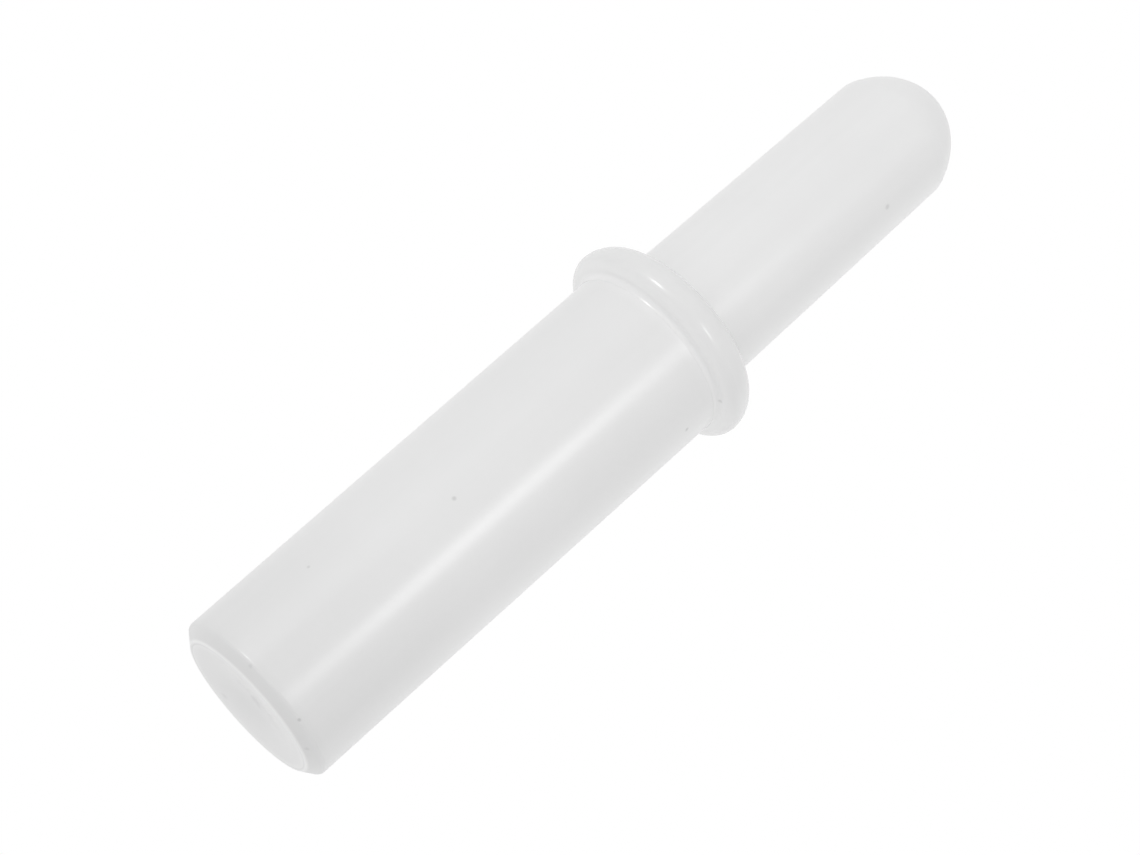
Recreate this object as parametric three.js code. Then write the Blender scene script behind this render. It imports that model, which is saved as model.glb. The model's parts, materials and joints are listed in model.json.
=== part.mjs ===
// Food pusher for a meat mincer: a hollow barrel that slides in the feed tube, a rounded collar
// that stops on the tube's mouth, and a domed hollow handle.
//
// Millimetres. +Z runs along the tool's axis, from the pushing end up to the dome. The origin is
// the middle of the pushing end, so the tool stands upright on z = 0. Every piece is a turned
// shape about the Z axis.

import * as THREE from 'three';

// ---- driving dimensions ------------------------------------------------------------------------

const TOTAL_LENGTH = 264;
const GAP = 0.3; // clearance that each joint keeps

const BARREL_END_RADIUS = 25.2; // just above the chamfer
const BARREL_TOP_RADIUS = 25.7; // under the collar: the difference is moulding draft
const BARREL_BORE_RADIUS = 19.6;
const CHAMFER_HEIGHT = 2.8;
const FACE_RADIUS = 21.5; // the flat pushing end, inside the chamfer

const COLLAR_RADIUS = 31;
const COLLAR_BOTTOM = 146.9;
const COLLAR_LOWER_ROUND = 3.6;
const COLLAR_UPPER_ROUND = 8;
const COLLAR_FILLET = 1.7;
const COLLAR_LIP = 0.3; // wall left where the fillet runs out against the barrel
const COLLAR_FLANGE = 6.2; // thickness of the flange clamped between barrel and handle

const HANDLE_BASE_RADIUS = 20.6;
const HANDLE_TOP_RADIUS = 19.8;
const HANDLE_WALL = 3.8;
const NECK_LENGTH = 36.5;
const NECK_BORE_RADIUS = 16.3;
const DOME_HEIGHT = 16.7;
const DOME_START = THREE.MathUtils.degToRad(24.5); // the dome leaves the handle at a slight corner

const PLUG_HEAD_HEIGHT = 4;
const PLUG_SKIRT_TOP = 22;
const PLUG_SKIRT_WALL = 3;
const PLUG_FLOOR_THICKNESS = 4;
const PLUG_LIP = 0.6; // width of the barrel's rim round the plug
const DISH_RADIUS = 16; // shallow hollow in the middle of the pushing face
const DISH_DEPTH = 2.5;

const SEGMENTS = 64;
const ROUND_STEPS = 6;
const DOME_STEPS = 9;

// ---- dimensions that follow ----------------------------------------------------------------------

const SPIGOT_RADIUS = BARREL_BORE_RADIUS - GAP; // plug skirt and handle neck share the barrel's bore
const PLUG_SEAT_RADIUS = FACE_RADIUS - PLUG_LIP;
const COLLAR_TOP = COLLAR_BOTTOM + COLLAR_LOWER_ROUND + COLLAR_UPPER_ROUND;
const BARREL_TOP = COLLAR_TOP - COLLAR_FLANGE - GAP;
const SHOULDER = COLLAR_TOP + GAP;
const NECK_BOTTOM = SHOULDER - NECK_LENGTH;
const DOME_BASE = TOTAL_LENGTH - DOME_HEIGHT;

// ---- shape helpers -------------------------------------------------------------------------------

/** Points [r, z] along an elliptic arc, both ends included. Angles in radians, 0 pointing outwards. */
function arc(centre, radii, from, to, steps) {
  const points = [];
  for (let i = 0; i <= steps; i += 1) {
    const angle = from + ((to - from) * i) / steps;
    points.push([centre[0] + radii[0] * Math.cos(angle), centre[1] + radii[1] * Math.sin(angle)]);
  }
  return points;
}

/** A dome from its base circle to the axis. It starts past its equator, which leaves the corner. */
function dome(baseRadius, baseZ, height, steps) {
  const start = Math.sin(DOME_START);
  const radiusR = baseRadius / Math.cos(DOME_START);
  const radiusZ = height / (1 - start);
  const points = arc([0, baseZ - radiusZ * start], [radiusR, radiusZ], DOME_START, Math.PI / 2, steps);
  points[steps][0] = 0;
  return points;
}

/** A named mesh made by turning an outline of [r, z] points about the Z axis. */
function turned(name, outline, material) {
  const points = outline.map(([r, z]) => new THREE.Vector2(r, z));
  const geometry = new THREE.LatheGeometry(points, SEGMENTS);
  geometry.rotateX(Math.PI / 2);
  const mesh = new THREE.Mesh(geometry, material);
  mesh.name = name;
  return mesh;
}

/** Natural polyethylene: milky white, waxy and half glossy. */
function naturalPlastic(shade) {
  return new THREE.MeshStandardMaterial({ color: shade, roughness: 0.38, metalness: 0 });
}

// ---- pieces --------------------------------------------------------------------------------------

/** The straight-bored tube that slides in the feed tube, chamfered at the pushing end. */
function makeBarrel() {
  const outline = [
    [PLUG_SEAT_RADIUS, 0],
    [FACE_RADIUS, 0],
    [BARREL_END_RADIUS, CHAMFER_HEIGHT],
    [BARREL_TOP_RADIUS, BARREL_TOP],
    [BARREL_BORE_RADIUS, BARREL_TOP],
    [BARREL_BORE_RADIUS, PLUG_HEAD_HEIGHT + GAP],
    [PLUG_SEAT_RADIUS, PLUG_HEAD_HEIGHT + GAP],
    [PLUG_SEAT_RADIUS, 0],
  ];
  return turned('barrel', outline, naturalPlastic('#e4e4e4'));
}

/** The plug that closes the pushing end: a head seated on the barrel's ledge, and a skirt in its bore. */
function makeEndPlug() {
  const headRadius = PLUG_SEAT_RADIUS - GAP;
  const skirtBore = SPIGOT_RADIUS - PLUG_SKIRT_WALL;
  const floorTop = DISH_DEPTH + PLUG_FLOOR_THICKNESS;
  const dish = arc([0, 0], [DISH_RADIUS, DISH_DEPTH], Math.PI / 2, 0, ROUND_STEPS);
  dish[0][0] = 0;
  dish[ROUND_STEPS][1] = 0;
  const outline = [
    ...dish,
    [headRadius, 0],
    [headRadius, PLUG_HEAD_HEIGHT],
    [SPIGOT_RADIUS, PLUG_HEAD_HEIGHT],
    [SPIGOT_RADIUS, PLUG_SKIRT_TOP],
    [skirtBore, PLUG_SKIRT_TOP],
    [skirtBore, floorTop],
    [0, floorTop],
  ];
  return turned('end_plug', outline, naturalPlastic('#dcdcdc'));
}

/** The stop collar: a rounded ring over the barrel's end, with a flange that the handle bears on. */
function makeCollar() {
  const sleeveRadius = BARREL_TOP_RADIUS + GAP;
  const lipRadius = sleeveRadius + COLLAR_LIP;
  const lower = [COLLAR_RADIUS - COLLAR_LOWER_ROUND, COLLAR_BOTTOM + COLLAR_LOWER_ROUND];
  const upper = [COLLAR_RADIUS - COLLAR_UPPER_ROUND, COLLAR_TOP - COLLAR_UPPER_ROUND];
  // The fillet touches both the lip and the lower round: its centre is one sum of radii away.
  const across = lipRadius + COLLAR_FILLET - lower[0];
  const touch = Math.acos(across / (COLLAR_LOWER_ROUND + COLLAR_FILLET));
  const filletZ = lower[1] - (COLLAR_LOWER_ROUND + COLLAR_FILLET) * Math.sin(touch);
  const fillet = arc(
    [lipRadius + COLLAR_FILLET, filletZ],
    [COLLAR_FILLET, COLLAR_FILLET],
    Math.PI,
    Math.PI - touch,
    ROUND_STEPS / 2,
  );
  const lowerRound = arc(lower, [COLLAR_LOWER_ROUND, COLLAR_LOWER_ROUND], -touch, 0, ROUND_STEPS);
  const upperRound = arc(upper, [COLLAR_UPPER_ROUND, COLLAR_UPPER_ROUND], 0, Math.PI / 2, ROUND_STEPS);
  const outline = [
    [sleeveRadius, filletZ],
    ...fillet,
    ...lowerRound.slice(1),
    ...upperRound.slice(1),
    [BARREL_BORE_RADIUS, COLLAR_TOP],
    [BARREL_BORE_RADIUS, BARREL_TOP + GAP],
    [sleeveRadius, BARREL_TOP + GAP],
    [sleeveRadius, filletZ],
  ];
  return turned('stop_collar', outline, naturalPlastic('#e0e0e0'));
}

/** The hollow handle: a neck in the barrel's bore, a shoulder on the collar, and a domed top. */
function makeHandle() {
  const boreTop = HANDLE_TOP_RADIUS - HANDLE_WALL;
  const insideDome = dome(boreTop, DOME_BASE, DOME_HEIGHT - HANDLE_WALL, DOME_STEPS).reverse();
  const outsideDome = dome(HANDLE_TOP_RADIUS, DOME_BASE, DOME_HEIGHT, DOME_STEPS);
  const outline = [
    ...insideDome,
    [NECK_BORE_RADIUS, SHOULDER],
    [NECK_BORE_RADIUS, NECK_BOTTOM],
    [SPIGOT_RADIUS, NECK_BOTTOM],
    [SPIGOT_RADIUS, SHOULDER],
    [HANDLE_BASE_RADIUS, SHOULDER],
    ...outsideDome,
  ];
  return turned('handle', outline, naturalPlastic('#e8e8e8'));
}

const pusher = new THREE.Group();
pusher.add(makeBarrel(), makeEndPlug(), makeCollar(), makeHandle());

export default pusher;
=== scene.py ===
"""Food pusher for a meat mincer, in milky natural polyethylene.

Four turned mouldings stand in for the plain CAD solids: the barrel, the plug in its pushing end,
the rounded stop collar and the domed handle. Each has its own operator, and so has the stage.
Lengths are in metres and +Z runs along the tool, from the pushing end up to the dome.
"""

import json
import math

import bmesh
import bpy
from bpy.props import FloatProperty, FloatVectorProperty, IntProperty, PointerProperty
from mathutils import Matrix, Vector, noise

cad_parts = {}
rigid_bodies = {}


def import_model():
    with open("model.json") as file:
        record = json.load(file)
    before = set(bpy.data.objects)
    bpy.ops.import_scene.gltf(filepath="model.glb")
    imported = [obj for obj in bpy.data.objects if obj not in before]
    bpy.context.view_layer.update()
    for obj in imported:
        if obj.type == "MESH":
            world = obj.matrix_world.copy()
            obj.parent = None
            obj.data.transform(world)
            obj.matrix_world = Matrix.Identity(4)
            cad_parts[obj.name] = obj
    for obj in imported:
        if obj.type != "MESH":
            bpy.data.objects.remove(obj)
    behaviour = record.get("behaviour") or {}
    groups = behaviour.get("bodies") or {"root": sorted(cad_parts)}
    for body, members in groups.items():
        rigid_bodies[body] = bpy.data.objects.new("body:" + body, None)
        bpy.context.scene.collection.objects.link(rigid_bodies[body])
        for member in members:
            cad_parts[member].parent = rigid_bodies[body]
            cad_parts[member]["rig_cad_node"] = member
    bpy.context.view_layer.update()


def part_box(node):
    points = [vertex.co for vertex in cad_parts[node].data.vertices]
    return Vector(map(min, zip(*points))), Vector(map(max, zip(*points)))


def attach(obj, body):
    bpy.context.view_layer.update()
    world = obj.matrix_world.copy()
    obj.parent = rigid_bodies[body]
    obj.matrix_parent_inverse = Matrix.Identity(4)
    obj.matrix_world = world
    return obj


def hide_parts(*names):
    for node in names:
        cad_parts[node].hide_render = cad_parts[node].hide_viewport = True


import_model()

bl_info = {
    "name": "Food Pusher",
    "version": (1, 0, 0),
    "blender": (4, 5, 0),
    "location": "View3D > Sidebar > Food Pusher",
    "description": "Builds a turned plastic food pusher around its CAD frame",
    "category": "Add Mesh",
}

MM = 0.001

# ---- places that come from the frame -------------------------------------------------------------

BARREL_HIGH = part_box("barrel")[1]
COLLAR_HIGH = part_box("stop_collar")[1]
HANDLE_LOW, HANDLE_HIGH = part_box("handle")
PLUG_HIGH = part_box("end_plug")[1]

BARREL_TOP_RADIUS = BARREL_HIGH.x
COLLAR_RADIUS = COLLAR_HIGH.x
COLLAR_TOP = COLLAR_HIGH.z
HANDLE_BASE_RADIUS = HANDLE_HIGH.x
TOTAL_LENGTH = HANDLE_HIGH.z
PLUG_HEAD_RADIUS = PLUG_HIGH.x

# ---- fineness of the turned meshes ---------------------------------------------------------------

TURN_STEPS = 176
RUN_SPACING = 2.2 * MM
EDGE_STEPS = 4
ARC_STEPS = 14
AXIS_TOLERANCE = 1e-6
BOX_TOLERANCE = 0.4 * MM
FLOOR_CLEARANCE = 0.2 * MM  # keeps the floor out of the plane of the pushing face
SHARP_ANGLE = math.radians(50)

DOME_BLEND = 4  # dome points that the rounded corner takes the place of
RIM_SHADE_HEIGHT = 6 * MM  # the chamfer and just above it, where the painted shade is darkest
END_SHADE_HEIGHT = 70 * MM  # how far up the barrel the painted shade reaches

# ---- grain of the plastic, as scales of the noise along x, y and z --------------------------------

CLOUD_SCALE = 38.0
PEEL_SCALE = 900.0
STREAK_SCALES = (260.0, 260.0, 9.0)  # long flow streaks along the tool
SCUFF_SCALES = (150.0, 150.0, 600.0)  # fine scuffs round the tool
PEEL_DEPTH = 0.05 * MM
CLOUD_DARK = 0.985  # how the cloudy colour varies about its mean
CLOUD_LIGHT = 1.01
SCUFF_GLOSS = 0.05  # how far scuffs and clouds change the roughness
CLOUD_GLOSS = 0.04
PLASTIC_IOR = 1.5

# ---- slow drift of the moulded walls ---------------------------------------------------------------

SLOW_DRIFT = (40, 14)  # noise scale across and along the tool
FAST_DRIFT = (110, 30)
FAST_SHARE = 0.35
FAST_OFFSET = 7  # takes the fast drift from another part of the noise

# ---- soft lights: turn round the tool from the camera's side in degrees, and metres ----------------

STRIP_PLACE = {"turn": 23.5, "distance": 2.0, "height": 0.70, "aim": 0.08, "width": 0.42, "tall": 0.38}
SIDE_PLACE = {"turn": -44.0, "distance": 3.0, "height": -0.12, "aim": 0.15, "width": 0.5, "tall": 0.35}


class PusherSizes(bpy.types.PropertyGroup):
    """Sizes that the frame's boxes don't give."""

    joint_gap: FloatProperty(
        name="Joint gap", description="Hairline that shows along a joint",
        default=0.02 * MM, unit="LENGTH", precision=5)
    edge_round: FloatProperty(
        name="Edge round", description="Rounding of the moulded outer edges",
        default=0.7 * MM, unit="LENGTH", precision=5)
    seam_round: FloatProperty(
        name="Seam round", description="Rounding of the small edges along a joint",
        default=0.06 * MM, unit="LENGTH", precision=5)
    barrel_end_radius: FloatProperty(
        name="Barrel end radius", description="Barrel radius just above its chamfer",
        default=25.2 * MM, unit="LENGTH", precision=5)
    barrel_bore: FloatProperty(
        name="Barrel bore", description="Radius of the barrel's straight bore",
        default=19.6 * MM, unit="LENGTH", precision=5)
    face_radius: FloatProperty(
        name="Face radius", description="Radius of the flat pushing end",
        default=21.5 * MM, unit="LENGTH", precision=5)
    chamfer_height: FloatProperty(
        name="Chamfer height", description="Height of the chamfer at the pushing end",
        default=2.8 * MM, unit="LENGTH", precision=5)
    plug_head: FloatProperty(
        name="Plug head", description="Height of the plug's head",
        default=4.0 * MM, unit="LENGTH", precision=5)
    plug_skirt_wall: FloatProperty(
        name="Plug skirt wall", description="Wall thickness of the plug's skirt",
        default=3.0 * MM, unit="LENGTH", precision=5)
    plug_floor: FloatProperty(
        name="Plug floor", description="Thickness of the plug behind its dish",
        default=4.0 * MM, unit="LENGTH", precision=5)
    dish_radius: FloatProperty(
        name="Dish radius", description="Radius of the shallow hollow in the pushing face",
        default=19.6 * MM, unit="LENGTH", precision=5)
    dish_depth: FloatProperty(
        name="Dish depth", description="Depth of the shallow hollow in the pushing face",
        default=2.5 * MM, unit="LENGTH", precision=5)
    collar_lower_round: FloatProperty(
        name="Collar lower round", description="Rounding on the collar's barrel side",
        default=3.6 * MM, unit="LENGTH", precision=5)
    collar_upper_round: FloatProperty(
        name="Collar upper round", description="Rounding on the collar's handle side",
        default=8.0 * MM, unit="LENGTH", precision=5)
    collar_fillet: FloatProperty(
        name="Collar fillet", description="Hollow fillet between the collar and the barrel",
        default=1.7 * MM, unit="LENGTH", precision=5)
    collar_lip: FloatProperty(
        name="Collar lip", description="How far the collar stands proud where its fillet runs out",
        default=0.01 * MM, unit="LENGTH", precision=5)
    collar_seat: FloatProperty(
        name="Collar seat", description="Depth of the barrel's step that the collar sits in",
        default=1.6 * MM, unit="LENGTH", precision=5)
    handle_top_radius: FloatProperty(
        name="Handle top radius", description="Handle radius where the dome starts",
        default=19.8 * MM, unit="LENGTH", precision=5)
    handle_wall: FloatProperty(
        name="Handle wall", description="Wall thickness of the hollow handle",
        default=3.8 * MM, unit="LENGTH", precision=5)
    neck_bore: FloatProperty(
        name="Neck bore", description="Inner radius of the handle's neck",
        default=16.3 * MM, unit="LENGTH", precision=5)
    dome_height: FloatProperty(
        name="Dome height", description="Height of the dome above its base",
        default=16.7 * MM, unit="LENGTH", precision=5)
    dome_start: FloatProperty(
        name="Dome start", description="Angle past the equator at which the dome starts",
        default=math.radians(24.5), unit="ROTATION")
    waviness: FloatProperty(
        name="Waviness", description="How far the moulded walls wander from true",
        default=0.05 * MM, unit="LENGTH", precision=5)


class PusherFinish(bpy.types.PropertyGroup):
    """Colours and surface of the natural plastic."""

    barrel_colour: FloatVectorProperty(
        name="Barrel", description="Colour of the barrel", subtype="COLOR",
        size=3, min=0, max=1, default=(0.80, 0.80, 0.80))
    plug_colour: FloatVectorProperty(
        name="End plug", description="Colour of the end plug", subtype="COLOR",
        size=3, min=0, max=1, default=(0.78, 0.78, 0.78))
    collar_colour: FloatVectorProperty(
        name="Collar", description="Colour of the stop collar", subtype="COLOR",
        size=3, min=0, max=1, default=(0.79, 0.79, 0.79))
    handle_colour: FloatVectorProperty(
        name="Handle", description="Colour of the handle", subtype="COLOR",
        size=3, min=0, max=1, default=(0.82, 0.82, 0.82))
    # Colour of the tiny inclusions, and also the colour that the painted shade towards the pushing end
    # mixes in.
    fleck_and_shade_colour: FloatVectorProperty(
        name="Flecks", description="Colour of the tiny inclusions", subtype="COLOR",
        size=3, min=0, max=1, default=(0.50, 0.50, 0.50))
    roughness: FloatProperty(
        name="Roughness", description="Mean roughness of the waxy surface",
        default=0.30, min=0, max=1, subtype="FACTOR")
    collar_roughness: FloatProperty(
        name="Collar roughness", description="Mean roughness of the collar, which is smoother",
        default=0.25, min=0, max=1, subtype="FACTOR")
    milkiness: FloatProperty(
        name="Milkiness", description="Share of light that scatters under the surface",
        default=0.25, min=0, max=1, subtype="FACTOR")
    # Painted light: the lighter colour laid on near the joints, in place of the light that their shade
    # takes away.
    painted_light_colour: FloatVectorProperty(
        name="Glow", description="Colour where light comes through from inside", subtype="COLOR",
        size=3, min=0, max=1, default=(0.97, 0.97, 0.97))
    # Painted shade: how far the barrel's colour darkens towards the pushing end.
    end_shade: FloatProperty(
        name="Wear", description="How much use has greyed the barrel towards the pushing end",
        default=0.14, min=0, max=1, subtype="FACTOR")
    # Painted shade: how much further the chamfer's colour darkens.
    rim_shade: FloatProperty(
        name="Rim wear", description="How much more use has greyed the chamfer",
        default=0.17, min=0, max=1, subtype="FACTOR")
    scatter_depth: FloatProperty(
        name="Scatter depth", description="How far light travels under the surface",
        default=0.6 * MM, unit="LENGTH", precision=5)


class PusherStage(bpy.types.PropertyGroup):
    """Floor, light and camera."""

    floor_width: FloatProperty(
        name="Floor width", description="Width of the pale floor",
        default=14.0, unit="LENGTH")
    floor_colour: FloatVectorProperty(
        name="Floor", description="Colour of the floor", subtype="COLOR",
        size=3, min=0, max=1, default=(0.90, 0.90, 0.90))
    backdrop_light: FloatProperty(
        name="Backdrop", description="Brightness of the white surroundings, as seen",
        default=1.0, min=0)
    room_light: FloatProperty(
        name="Room light", description="Brightness of the white surroundings, as light",
        default=0.512, min=0)
    glow_left: FloatProperty(
        name="Glow left", description="Extra light from the left", default=0.158, min=0)
    glow_right: FloatProperty(
        name="Glow right", description="Extra light from the right", default=0.259, min=0)
    glow_back: FloatProperty(
        name="Glow back", description="Extra light from behind", default=0.343, min=0)
    glow_above: FloatProperty(
        name="Glow above", description="Extra light from above", default=0.184, min=0)
    glow_below: FloatProperty(
        name="Glow below", description="Extra light from below", default=0.270, min=0)
    strip_light: FloatProperty(
        name="Strip light", description="Power of the tall strip in front of the barrel, in watts",
        default=5.8, min=0)
    side_light: FloatProperty(
        name="Side light", description="Power of the far light beside the tool, in watts",
        default=20.364, min=0)
    camera_distance: FloatProperty(
        name="Camera distance", description="Distance from the tool's axis to the camera",
        default=652.4 * MM, unit="LENGTH", precision=4)
    camera_drop: FloatProperty(
        name="Camera drop", description="How far the camera is below the pushing end",
        default=131.1 * MM, unit="LENGTH", precision=4)
    aim_height: FloatProperty(
        name="Aim height", description="Height on the axis that the camera looks at",
        default=115.2 * MM, unit="LENGTH", precision=4)
    aim_offset: FloatProperty(
        name="Aim offset", description="How far beside the axis the camera looks",
        default=1.2 * MM, unit="LENGTH", precision=4)
    camera_roll: FloatProperty(
        name="Camera roll", description="Turn of the camera about its line of sight",
        default=math.radians(48.45), unit="ROTATION")
    lens: FloatProperty(
        name="Lens", description="Focal length on a 36 mm sensor, in millimetres",
        default=82.1, min=1)


class PusherSettings(bpy.types.PropertyGroup):
    """All settings of the food pusher."""

    sizes: PointerProperty(type=PusherSizes)
    finish: PointerProperty(type=PusherFinish)
    stage: PointerProperty(type=PusherStage)
    turn_steps: IntProperty(
        name="Turn steps", description="Faces round each turned piece",
        default=TURN_STEPS, min=24, max=512)


# ---- outlines ------------------------------------------------------------------------------------


def arc(centre, radii, start, end, steps=ARC_STEPS):
    """Outline points (r, z) along an elliptic arc, both ends included."""
    points = []
    for i in range(steps + 1):
        angle = start + (end - start) * i / steps
        points.append((centre[0] + radii[0] * math.cos(angle), centre[1] + radii[1] * math.sin(angle)))
    return points


def soften(corners, closed):
    """Rounds each corner (r, z, rounding) of an outline. Corners with no third value stay sharp."""
    outline = []
    count = len(corners)
    for i, corner in enumerate(corners):
        here = Vector(corner[:2])
        at_end = not closed and i in (0, count - 1)
        if len(corner) < 3 or at_end:
            outline.append(tuple(here))
            continue
        before = Vector(corners[i - 1][:2]) - here
        after = Vector(corners[(i + 1) % count][:2]) - here
        reach = min(corner[2], before.length * 0.45, after.length * 0.45)
        first = here + before.normalized() * reach
        last = here + after.normalized() * reach
        for k in range(EDGE_STEPS + 1):
            t = k / EDGE_STEPS
            outline.append(tuple(first * (1 - t) ** 2 + here * (2 * t * (1 - t)) + last * t ** 2))
    return outline


def fill_runs(outline, closed):
    """Adds points along the long straight runs, so that the mesh stays even."""
    filled = []
    ends = outline[1:] + outline[:1] if closed else outline[1:]
    for start, end in zip(outline, ends):
        a, b = Vector(start), Vector(end)
        parts = max(1, round((b - a).length / RUN_SPACING))
        filled.extend(tuple(a.lerp(b, k / parts)) for k in range(parts))
    if not closed:
        filled.append(outline[-1])
    return filled


def dome(sizes, base_radius, height):
    """Outline of a dome, from its base circle up to the axis. The base keeps a slight corner."""
    start = sizes.dome_start
    rise = height / (1 - math.sin(start))
    centre = (0.0, TOTAL_LENGTH - sizes.dome_height - rise * math.sin(start))
    outline = arc(centre, (base_radius / math.cos(start), rise), start, math.pi / 2, ARC_STEPS * 2)
    return outline[:-1] + [(0.0, outline[-1][1])]


def collar_curves(sizes):
    """Where the collar's lower round and its fillet have their centres, and the angle they meet at."""
    low, fillet = sizes.collar_lower_round, sizes.collar_fillet
    round_centre = (COLLAR_RADIUS - low, COLLAR_TOP - sizes.collar_upper_round)
    fillet_radius = BARREL_TOP_RADIUS + sizes.collar_lip + fillet
    touch = math.acos((fillet_radius - round_centre[0]) / (low + fillet))
    fillet_centre = (fillet_radius, round_centre[1] - (low + fillet) * math.sin(touch))
    return round_centre, fillet_centre, touch


def collar_foot(sizes):
    """Height at which the collar's fillet runs out on the barrel."""
    return collar_curves(sizes)[1][1]


def barrel_outline(sizes):
    """The barrel's wall: chamfered foot, taper, step for the collar, straight bore, plug seat."""
    edge, seam = sizes.edge_round, sizes.seam_round
    seat_radius = PLUG_HEAD_RADIUS + sizes.joint_gap
    seat_height = sizes.plug_head + sizes.joint_gap
    return [
        (PLUG_HEAD_RADIUS, 0.0),
        (sizes.face_radius, 0.0, seam),
        (sizes.barrel_end_radius, sizes.chamfer_height, edge),
        (BARREL_TOP_RADIUS, collar_foot(sizes)),
        (BARREL_TOP_RADIUS - sizes.collar_seat, collar_foot(sizes), seam),
        (BARREL_TOP_RADIUS - sizes.collar_seat, BARREL_HIGH.z, edge),
        (sizes.barrel_bore, BARREL_HIGH.z, edge),
        (sizes.barrel_bore, seat_height, seam),
        (seat_radius, seat_height, seam),
    ]


def plug_outline(sizes):
    """The plug: dished face, rounded rim, head on the barrel's ledge, skirt in its bore."""
    edge, seam = sizes.edge_round, sizes.seam_round
    skirt_radius = sizes.barrel_bore - sizes.joint_gap
    skirt_bore = skirt_radius - sizes.plug_skirt_wall
    floor_top = sizes.dish_depth + sizes.plug_floor
    swing = [math.pi * k / ARC_STEPS for k in range(ARC_STEPS)]
    dish = [(sizes.dish_radius * a / math.pi, sizes.dish_depth * (1 + math.cos(a)) / 2) for a in swing]
    return dish + [
        (sizes.dish_radius, 0.0),
        (PLUG_HEAD_RADIUS, 0.0),
        (PLUG_HEAD_RADIUS, sizes.plug_head, seam),
        (skirt_radius, sizes.plug_head, seam),
        (skirt_radius, PLUG_HIGH.z, edge),
        (skirt_bore, PLUG_HIGH.z, edge),
        (skirt_bore, floor_top, edge),
        (0.0, floor_top),
    ]


def collar_outline(sizes):
    """The collar: sleeve over the barrel, fillet, two rounds, flange for the handle's shoulder."""
    seam = sizes.seam_round
    sleeve = BARREL_TOP_RADIUS - sizes.collar_seat + sizes.joint_gap
    low, high, fillet = sizes.collar_lower_round, sizes.collar_upper_round, sizes.collar_fillet
    low_centre, fillet_centre, touch = collar_curves(sizes)
    high_centre = (COLLAR_RADIUS - high, COLLAR_TOP - high)
    ledge = BARREL_HIGH.z + sizes.joint_gap
    outline = [(sleeve, collar_foot(sizes))]
    outline += arc(fillet_centre, (fillet, fillet), math.pi, math.pi - touch, ARC_STEPS // 2)
    outline += arc(low_centre, (low, low), -touch, 0.0)[1:]
    outline += arc(high_centre, (high, high), 0.0, math.pi / 2)[1:]
    return outline + [
        (sizes.barrel_bore, COLLAR_TOP, seam),
        (sizes.barrel_bore, ledge, seam),
        (sleeve, ledge, seam),
    ]


def handle_outline(sizes):
    """The handle: dome inside, bore, neck, shoulder on the collar, tapered grip, dome outside."""
    edge, seam = sizes.edge_round, sizes.seam_round
    shoulder = COLLAR_TOP + sizes.joint_gap
    neck_radius = sizes.barrel_bore - sizes.joint_gap
    wall = sizes.handle_wall
    inner = dome(sizes, sizes.handle_top_radius - wall, sizes.dome_height - wall)
    outer = dome(sizes, sizes.handle_top_radius, sizes.dome_height)
    corner = [(*outer[0], edge * 2.5)]
    return inner[::-1] + [
        (sizes.neck_bore, shoulder),
        (sizes.neck_bore, HANDLE_LOW.z, edge),
        (neck_radius, HANDLE_LOW.z, edge),
        (neck_radius, shoulder, seam),
        (HANDLE_BASE_RADIUS, shoulder, seam * 2),
    ] + corner + outer[DOME_BLEND:]


# ---- meshes --------------------------------------------------------------------------------------


def wander(point, sizes):
    """A moulded wall's slow drift from true, in metres, at a point on it."""
    across, along = SLOW_DRIFT
    slow = noise.noise(Vector((point.x * across, point.y * across, point.z * along)))
    across, along = FAST_DRIFT
    fast = noise.noise(Vector((point.x * across + FAST_OFFSET, point.y * across, point.z * along)))
    return sizes.waviness * (slow + FAST_SHARE * fast)


def turned_mesh(name, outline, settings, closed):
    """A smooth mesh made by turning an outline about Z. A point on the axis makes one vertex."""
    steps = settings.turn_steps
    build = bmesh.new()
    rings = []
    for radius, height in outline:
        if radius < AXIS_TOLERANCE:
            rings.append([build.verts.new((0.0, 0.0, height))])
            continue
        ring = []
        for k in range(steps):
            angle = 2 * math.pi * k / steps
            out = Vector((math.cos(angle), math.sin(angle), 0.0))
            point = out * radius + Vector((0.0, 0.0, height))
            ring.append(build.verts.new(point + out * wander(point, settings.sizes)))
        rings.append(ring)
    following = rings[1:] + rings[:1] if closed else rings[1:]
    for low, high in zip(rings, following):
        for k in range(steps):
            lower = [low[k % len(low)], low[(k + 1) % len(low)]]
            upper = [high[(k + 1) % len(high)], high[k % len(high)]]
            build.faces.new(dict.fromkeys(lower + upper))
    bmesh.ops.recalc_face_normals(build, faces=build.faces)
    for face in build.faces:
        face.smooth = True
    for edge in build.edges:
        edge.smooth = edge.calc_face_angle(0.0) < SHARP_ANGLE
    mesh = bpy.data.meshes.new(name)
    build.to_mesh(mesh)
    build.free()
    return mesh


def add_piece(context, name, node, corners, closed, material):
    """Turns one piece, hangs it on the frame and lets it stand for its CAD node."""
    settings = context.scene.food_pusher
    outline = fill_runs(soften(corners, closed), closed)
    piece = bpy.data.objects.new(name, turned_mesh(name, outline, settings, closed))
    context.scene.collection.objects.link(piece)
    piece.data.materials.append(material)
    weights = piece.modifiers.new("Even shading", "WEIGHTED_NORMAL")
    weights.keep_sharp = True
    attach(piece, "root")
    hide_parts(node)
    check_fit(piece, node)
    return piece


def check_fit(piece, node):
    """Raises an error if a piece's box has left its CAD node's box."""
    low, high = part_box(node)
    for axis in range(3):
        values = [vertex.co[axis] for vertex in piece.data.vertices]
        if min(values) < low[axis] - BOX_TOLERANCE or max(values) > high[axis] + BOX_TOLERANCE:
            raise RuntimeError(f"{piece.name} has left the box of {node}")


# ---- materials -----------------------------------------------------------------------------------


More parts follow.
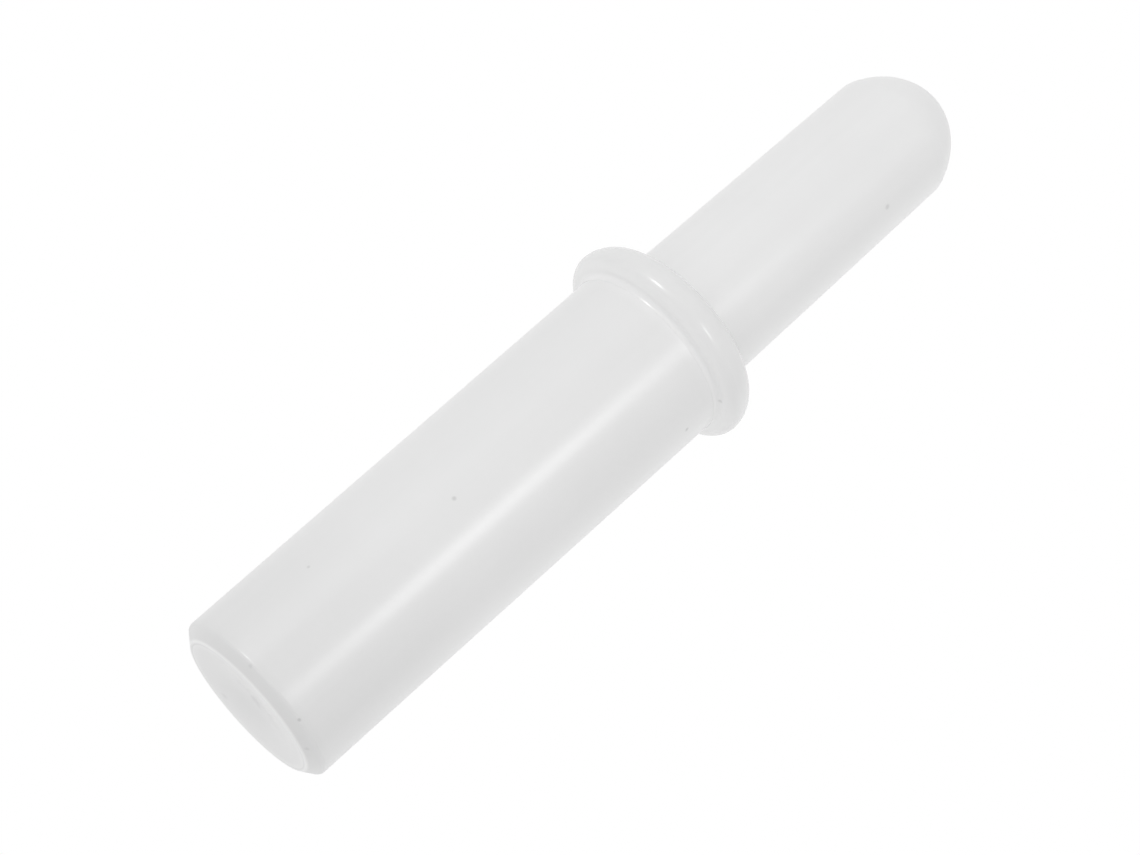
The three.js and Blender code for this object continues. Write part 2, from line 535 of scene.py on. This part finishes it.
class NodeSheet:
    """A material's node tree, with short calls that add and wire its nodes."""

    def __init__(self, name):
        self.material = bpy.data.materials.new(name)
        self.material.use_nodes = True
        self.tree = self.material.node_tree
        self.tree.nodes.clear()

    def node(self, kind, inputs=None, **settings):
        """Adds a node, sets its properties, and fills or wires its inputs."""
        made = self.tree.nodes.new(kind)
        for key, value in settings.items():
            setattr(made, key, value)
        for key, value in (inputs or {}).items():
            if isinstance(value, bpy.types.NodeSocket):
                self.tree.links.new(value, made.inputs[key])
            else:
                made.inputs[key].default_value = value
        return made

    def math(self, operation, first, second=0.0, third=0.0):
        """The output of a math node."""
        made = self.node("ShaderNodeMath", {0: first, 1: second, 2: third}, operation=operation)
        return made.outputs[0]

    def noise(self, place, scale, detail=2.0):
        """The grey output of a noise texture at a place."""
        made = self.node("ShaderNodeTexNoise", {"Vector": place, "Scale": scale, "Detail": detail})
        return made.outputs["Fac"]

    def stretched(self, place, scale):
        """Coordinates scaled by a different amount along each axis."""
        return self.node("ShaderNodeMapping", {"Vector": place, "Scale": scale}).outputs["Vector"]


def fleck_mask(sheet, place, flecks):
    """How strongly the marks show.

    A mark is its height, its turn in degrees, its distance from the axis, its size, in millimetres,
    and its strength."""
    mask = 0.0
    for height, turn, radius, size, strength in flecks:
        angle = math.radians(turn)
        centre = Vector((radius * math.sin(angle), -radius * math.cos(angle), height)) * MM
        apart = sheet.node("ShaderNodeVectorMath", {0: place, 1: centre}, operation="DISTANCE")
        spot = sheet.node("ShaderNodeMapRange", {
            "Value": apart.outputs["Value"], "From Min": 0.2 * size * MM, "From Max": size * MM,
            "To Min": strength, "To Max": 0.0}, interpolation_type="SMOOTHSTEP")
        mask = sheet.math("MAXIMUM", spot.outputs["Result"], mask)
    return mask


def fade(sheet, value, reach, strength):
    """The given strength at 0, falling smoothly to nothing at the reach."""
    made = sheet.node("ShaderNodeMapRange", {
        "Value": value, "From Min": 0.0, "From Max": reach,
        "To Min": strength, "To Max": 0.0}, interpolation_type="SMOOTHSTEP")
    return made.outputs["Result"]


def tinted(sheet, surface, factor, colour):
    """A colour with some of another mixed in."""
    made = sheet.node("ShaderNodeMix", {
        "Factor": factor, "A": surface, "B": (*colour, 1.0)}, data_type="RGBA")
    return made.outputs["Result"]


def shaded_towards_end(sheet, place, surface, finish):
    """Painted shade: a colour that darkens towards the pushing end, and most on the chamfer."""
    height = sheet.node("ShaderNodeSeparateXYZ", {"Vector": place}).outputs["Z"]
    surface = tinted(sheet, surface, fade(sheet, height, END_SHADE_HEIGHT, finish.end_shade), finish.fleck_and_shade_colour)
    return tinted(sheet, surface, fade(sheet, height, RIM_SHADE_HEIGHT, finish.rim_shade), finish.fleck_and_shade_colour)


def near_joint(sheet, place, ring):
    """How near a point is to a ring-shaped joint: 1 at the joint, and 0 from its reach on.

    The ring is its radius, height and reach, in metres, and the share of painted light laid on near it."""
    radius, height, reach, _ = ring
    flat = sheet.node("ShaderNodeVectorMath", {0: place, 1: (1.0, 1.0, 0.0)}, operation="MULTIPLY")
    across = sheet.node("ShaderNodeVectorMath", {0: flat.outputs["Vector"]}, operation="LENGTH")
    along = sheet.node("ShaderNodeSeparateXYZ", {"Vector": place}).outputs["Z"]
    apart = sheet.node("ShaderNodeCombineXYZ", {
        "X": sheet.math("SUBTRACT", across.outputs["Value"], radius),
        "Y": sheet.math("SUBTRACT", along, height)})
    distance = sheet.node("ShaderNodeVectorMath", {0: apart.outputs["Vector"]}, operation="LENGTH")
    return fade(sheet, distance.outputs["Value"], reach, 1.0)


def natural_plastic(name, colour, finish, flecks, roughness, rings=(), grain=1.0, has_end_shade=False):
    """Milky polyethylene: cloudy colour, flow streaks, fine orange peel and a few inclusions.

    Near the joints given as rings it has painted light, a lighter colour in place of the light that the
    joints' shade takes away, and it clouds less there, so that no light gets lost in them.
    With has_end_shade it has painted shade, darker towards the pushing end."""
    sheet = NodeSheet(name)
    place = sheet.node("ShaderNodeTexCoord").outputs["Object"]
    clouds = sheet.noise(place, CLOUD_SCALE, 3.0)
    streaks = sheet.noise(sheet.stretched(place, STREAK_SCALES), 1.0, 3.0)
    peel = sheet.noise(place, PEEL_SCALE, 2.0)
    scuffs = sheet.noise(sheet.stretched(place, SCUFF_SCALES), 1.0, 4.0)

    cloudy = sheet.math("ADD", sheet.math("MULTIPLY", clouds, 0.6), sheet.math("MULTIPLY", streaks, 0.4))
    depth = sheet.node("ShaderNodeMapRange", {
        "Value": cloudy, "From Min": 0.3, "From Max": 0.7, "To Min": 0.0, "To Max": 1.0})
    body = sheet.node("ShaderNodeMix", {
        "Factor": depth.outputs["Result"],
        "A": (*(c * CLOUD_DARK for c in colour), 1.0),
        "B": (*(min(1.0, c * CLOUD_LIGHT) for c in colour), 1.0)}, data_type="RGBA")
    surface = body.outputs["Result"]
    # Painted shade: the colour darkens towards the pushing end, and most on the chamfer.
    if has_end_shade:
        surface = shaded_towards_end(sheet, place, surface, finish)
    joint = 0.0
    for ring in rings:
        near = near_joint(sheet, place, ring)
        # Painted light: a lighter colour near the joint, against the shade that falls there.
        surface = tinted(sheet, surface, sheet.math("MULTIPLY", near, ring[3]), finish.painted_light_colour)
        joint = sheet.math("MAXIMUM", near, joint)
    milkiness = sheet.math("MULTIPLY", sheet.math("SUBTRACT", 1.0, joint), finish.milkiness)
    spotted = tinted(sheet, surface, fleck_mask(sheet, place, flecks), finish.fleck_and_shade_colour)

    gloss = sheet.math("MULTIPLY_ADD", sheet.math("SUBTRACT", scuffs, 0.5), SCUFF_GLOSS, roughness)
    gloss = sheet.math("MULTIPLY_ADD", sheet.math("SUBTRACT", clouds, 0.5), CLOUD_GLOSS, gloss)
    relief = sheet.math("MULTIPLY_ADD", streaks, 0.75, sheet.math("MULTIPLY", peel, 0.25 * grain))
    bump = sheet.node("ShaderNodeBump", {"Height": relief, "Strength": 0.35, "Distance": PEEL_DEPTH})

    skin = sheet.node("ShaderNodeBsdfPrincipled", {
        "Base Color": spotted,
        "Roughness": gloss,
        "Normal": bump.outputs["Normal"],
        "IOR": PLASTIC_IOR,
        "Subsurface Weight": milkiness,
        "Subsurface Radius": (1.0, 1.0, 1.0),
        "Subsurface Scale": finish.scatter_depth})
    sheet.node("ShaderNodeOutputMaterial", {"Surface": skin.outputs["BSDF"]})
    return sheet.material


# ---- operators -----------------------------------------------------------------------------------


class PUSHER_OT_barrel(bpy.types.Operator):
    """Make the barrel that slides in the feed tube"""

    bl_idname = "food_pusher.barrel"
    bl_label = "Barrel"

    FLECKS = ((69.6, -11.0, 25.4, 0.9, 0.5), (134.9, 60.0, 25.6, 0.9, 0.55),
              (30.9, -39.5, 25.3, 0.7, 0.4), (2.8, 25.5, 25.2, 0.8, 0.7),
              (2.4, -16.5, 24.7, 0.9, 0.3), (1.2, 49.5, 23.0, 0.9, 0.35))

    def execute(self, context):
        settings = context.scene.food_pusher
        finish = settings.finish
        sizes = settings.sizes
        # Rings of painted light: a lighter colour at the collar's foot and along the edge of the pushing
        # face. The ring where the plug meets the barrel only stops the scattering.
        rings = ((BARREL_TOP_RADIUS, collar_foot(sizes), 3.0 * MM, 0.10),
                 (PLUG_HEAD_RADIUS, 0.0, 2.5 * MM, 0.0),
                 (sizes.face_radius, 0.0, 1.0 * MM, 0.6))
        # The barrel has painted shade towards its pushing end.
        plastic = natural_plastic("barrel_plastic", finish.barrel_colour, finish, self.FLECKS,
                                  finish.roughness, rings, has_end_shade=True)
        add_piece(context, "barrel_wall", "barrel",
                  barrel_outline(sizes), True, plastic)
        return {"FINISHED"}


class PUSHER_OT_end_plug(bpy.types.Operator):
    """Make the plug that closes the pushing end"""

    bl_idname = "food_pusher.end_plug"
    bl_label = "End plug"

    FLECKS = ((2.5, 0.0, 0.6, 2.6, 0.30), (2.45, 120.0, 1.9, 1.4, 0.18), (0.2, -157.0, 15.5, 1.6, 0.22),
              (0.1, -20.0, 18.0, 1.6, 0.15))

    def execute(self, context):
        settings = context.scene.food_pusher
        finish = settings.finish
        # Painted light: a lighter colour round the edge of the plug's head.
        rings = ((PLUG_HEAD_RADIUS, 0.0, 2.5 * MM, 0.25),)
        plastic = natural_plastic("plug_plastic", finish.plug_colour, finish, self.FLECKS,
                                  finish.roughness, rings, grain=1.6)
        add_piece(context, "pushing_plug", "end_plug",
                  plug_outline(settings.sizes), False, plastic)
        return {"FINISHED"}


class PUSHER_OT_stop_collar(bpy.types.Operator):
    """Make the rounded collar that stops on the feed tube's mouth"""

    bl_idname = "food_pusher.stop_collar"
    bl_label = "Stop collar"

    FLECKS = ((146.7, 57.0, 26.9, 1.0, 0.35),)

    def execute(self, context):
        settings = context.scene.food_pusher
        finish = settings.finish
        sizes = settings.sizes
        # Painted light: a lighter colour in the fillet under the collar, against its shade.
        rings = ((collar_curves(sizes)[1][0], collar_foot(sizes) + sizes.collar_fillet, 4.0 * MM, 0.60),)
        plastic = natural_plastic("collar_plastic", finish.collar_colour, finish, self.FLECKS,
                                  finish.collar_roughness, rings)
        add_piece(context, "collar_ring", "stop_collar",
                  collar_outline(sizes), True, plastic)
        return {"FINISHED"}


class PUSHER_OT_handle(bpy.types.Operator):
    """Make the hollow domed handle"""

    bl_idname = "food_pusher.handle"
    bl_label = "Handle"

    FLECKS = ((223.7, 43.5, 20.0, 1.2, 0.40),)

    def execute(self, context):
        settings = context.scene.food_pusher
        finish = settings.finish
        plastic = natural_plastic("handle_plastic", finish.handle_colour, finish, self.FLECKS,
                                  finish.roughness)
        add_piece(context, "domed_grip", "handle",
                  handle_outline(settings.sizes), False, plastic)
        return {"FINISHED"}


# ---- stage ---------------------------------------------------------------------------------------


def add_floor(context, stage):
    """A pale floor that is seen from above only, and takes the tool's soft shadow."""
    half = stage.floor_width / 2
    low = -FLOOR_CLEARANCE
    mesh = bpy.data.meshes.new("floor")
    corners = [(-half, -half, low), (half, -half, low), (half, half, low), (-half, half, low)]
    mesh.from_pydata(corners, [], [(0, 1, 2, 3)])
    floor = bpy.data.objects.new("floor", mesh)
    context.scene.collection.objects.link(floor)
    for hidden_from in ("visible_diffuse", "visible_glossy", "visible_shadow", "visible_transmission"):
        setattr(floor, hidden_from, False)
    sheet = NodeSheet("floor_paper")
    place = sheet.node("ShaderNodeTexCoord").outputs["Object"]
    tooth = sheet.noise(place, 700.0, 3.0)
    bump = sheet.node("ShaderNodeBump", {"Height": tooth, "Strength": 0.1, "Distance": 0.1 * MM})
    paper = sheet.node("ShaderNodeBsdfDiffuse", {
        "Color": (*stage.floor_colour, 1.0), "Normal": bump.outputs["Normal"]})
    clear = sheet.node("ShaderNodeBsdfTransparent")
    underside = sheet.node("ShaderNodeNewGeometry").outputs["Backfacing"]
    one_sided = sheet.node("ShaderNodeMixShader", {
        "Fac": underside, 1: paper.outputs["BSDF"], 2: clear.outputs["BSDF"]})
    sheet.node("ShaderNodeOutputMaterial", {"Surface": one_sided.outputs["Shader"]})
    floor.data.materials.append(sheet.material)
    return floor


def glow(tree, total, direction, strength):
    """Adds to a brightness a broad glow of white surroundings, brightest in one direction."""
    place = tree.nodes.new("ShaderNodeTexCoord")
    facing = tree.nodes.new("ShaderNodeVectorMath")
    facing.operation = "DOT_PRODUCT"
    facing.inputs[1].default_value = direction
    tree.links.new(place.outputs["Generated"], facing.inputs[0])
    ahead = tree.nodes.new("ShaderNodeMath")
    ahead.operation = "MAXIMUM"
    ahead.inputs[1].default_value = 0.0
    tree.links.new(facing.outputs["Value"], ahead.inputs[0])
    add = tree.nodes.new("ShaderNodeMath")
    add.operation = "MULTIPLY_ADD"
    add.inputs[1].default_value = strength
    tree.links.new(ahead.outputs[0], add.inputs[0])
    if isinstance(total, bpy.types.NodeSocket):
        tree.links.new(total, add.inputs[2])
    else:
        add.inputs[2].default_value = total
    return add.outputs[0]


def add_surroundings(context, stage):
    """White surroundings: one brightness to be seen, another to light the tool."""
    world = bpy.data.worlds.new("white_room")
    world.use_nodes = True
    tree = world.node_tree
    tree.nodes.clear()
    brightness = stage.room_light
    brightness = glow(tree, brightness, (-1.0, 0.0, 0.0), stage.glow_left)
    brightness = glow(tree, brightness, (1.0, 0.0, 0.0), stage.glow_right)
    brightness = glow(tree, brightness, (0.0, 1.0, 0.0), stage.glow_back)
    brightness = glow(tree, brightness, (0.0, 0.0, 1.0), stage.glow_above)
    brightness = glow(tree, brightness, (0.0, 0.0, -1.0), stage.glow_below)
    seen = tree.nodes.new("ShaderNodeBackground")
    seen.inputs["Strength"].default_value = stage.backdrop_light
    seen.inputs["Color"].default_value = (1.0, 1.0, 1.0, 1.0)
    lighting = tree.nodes.new("ShaderNodeBackground")
    lighting.inputs["Color"].default_value = (1.0, 1.0, 1.0, 1.0)
    tree.links.new(brightness, lighting.inputs["Strength"])
    path = tree.nodes.new("ShaderNodeLightPath")
    mix = tree.nodes.new("ShaderNodeMixShader")
    output = tree.nodes.new("ShaderNodeOutputWorld")
    tree.links.new(path.outputs["Is Camera Ray"], mix.inputs["Fac"])
    tree.links.new(lighting.outputs["Background"], mix.inputs[1])
    tree.links.new(seen.outputs["Background"], mix.inputs[2])
    tree.links.new(mix.outputs["Shader"], output.inputs["Surface"])
    context.scene.world = world


def add_soft_light(context, name, power, floor, turn, distance, height, aim, width, tall):
    """A rectangular soft light, placed by its turn round the tool from the camera's side.

    It lights the tool and leaves the floor alone."""
    data = bpy.data.lights.new(name, "AREA")
    data.shape = "RECTANGLE"
    data.size, data.size_y = width, tall
    data.energy = power
    lamp = bpy.data.objects.new(name, data)
    context.scene.collection.objects.link(lamp)
    angle = math.radians(turn)
    lamp.location = (distance * math.sin(angle), -distance * math.cos(angle), height)
    sight = Vector((0.0, 0.0, aim)) - lamp.location
    lamp.rotation_euler = sight.to_track_quat("-Z", "Y").to_euler()
    lamp.visible_camera = False
    unlit = bpy.data.collections.new(f"unlit_by_{name}")
    unlit.objects.link(floor)
    unlit.collection_objects[0].light_linking.link_state = "EXCLUDE"
    lamp.light_linking.receiver_collection = unlit


def add_camera(context, stage):
    """The camera: below the pushing end, looking up along the tool, and rolled."""
    data = bpy.data.cameras.new("camera")
    data.lens = stage.lens
    camera = bpy.data.objects.new("camera", data)
    context.scene.collection.objects.link(camera)
    place = Vector((0.0, -stage.camera_distance, -stage.camera_drop))
    aim = Vector((stage.aim_offset, 0.0, stage.aim_height))
    level = (aim - place).to_track_quat("-Z", "Y").to_matrix().to_4x4()
    camera.matrix_world = Matrix.Translation(place) @ level @ Matrix.Rotation(stage.camera_roll, 4, "Z")
    context.scene.camera = camera


class PUSHER_OT_stage(bpy.types.Operator):
    """Make the floor, the surroundings, the lights and the camera"""

    bl_idname = "food_pusher.stage"
    bl_label = "Stage"

    def execute(self, context):
        stage = context.scene.food_pusher.stage
        floor = add_floor(context, stage)
        add_surroundings(context, stage)
        add_soft_light(context, "strip", stage.strip_light, floor, **STRIP_PLACE)
        add_soft_light(context, "side", stage.side_light, floor, **SIDE_PLACE)
        add_camera(context, stage)
        context.scene.view_settings.view_transform = "Standard"
        return {"FINISHED"}


class PUSHER_PT_panel(bpy.types.Panel):
    """Lists the pusher's pieces and settings"""

    bl_label = "Food Pusher"
    bl_idname = "PUSHER_PT_panel"
    bl_space_type = "VIEW_3D"
    bl_region_type = "UI"
    bl_category = "Food Pusher"

    def draw(self, context):
        column = self.layout.column(align=True)
        for operator in PIECE_OPERATORS:
            column.operator(operator.bl_idname)
        settings = context.scene.food_pusher
        self.layout.prop(settings, "turn_steps")
        for group in (settings.sizes, settings.finish, settings.stage):
            box = self.layout.box()
            for name in group.__annotations__:
                box.prop(group, name)


PIECE_OPERATORS = (
    PUSHER_OT_stage,
    PUSHER_OT_barrel,
    PUSHER_OT_end_plug,
    PUSHER_OT_stop_collar,
    PUSHER_OT_handle,
)
CLASSES = (PusherSizes, PusherFinish, PusherStage, PusherSettings, *PIECE_OPERATORS, PUSHER_PT_panel)


def register():
    """Registers the classes and hangs the settings on the scene."""
    for cls in CLASSES:
        bpy.utils.register_class(cls)
    bpy.types.Scene.food_pusher = PointerProperty(type=PusherSettings)


def unregister():
    """Takes the settings and the classes away again."""
    del bpy.types.Scene.food_pusher
    for cls in reversed(CLASSES):
        bpy.utils.unregister_class(cls)


def clear_start_scene():
    """Removes what a new file holds, but not the frame."""
    for name in ("Cube", "Light", "Camera"):
        thing = bpy.data.objects.get(name)
        if thing is not None and "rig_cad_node" not in thing:
            bpy.data.objects.remove(thing)


def write_sizes():
    """Updates the view layer, so that every object's place is current."""
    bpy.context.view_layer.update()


def build():
    """Builds everything in order."""
    clear_start_scene()
    bpy.ops.food_pusher.stage()
    bpy.ops.food_pusher.barrel()
    bpy.ops.food_pusher.end_plug()
    bpy.ops.food_pusher.stop_collar()
    bpy.ops.food_pusher.handle()
    write_sizes()


def main():
    """Registers the tools and builds the pusher with their defaults."""
    register()
    build()


if __name__ == "__main__":
    main()
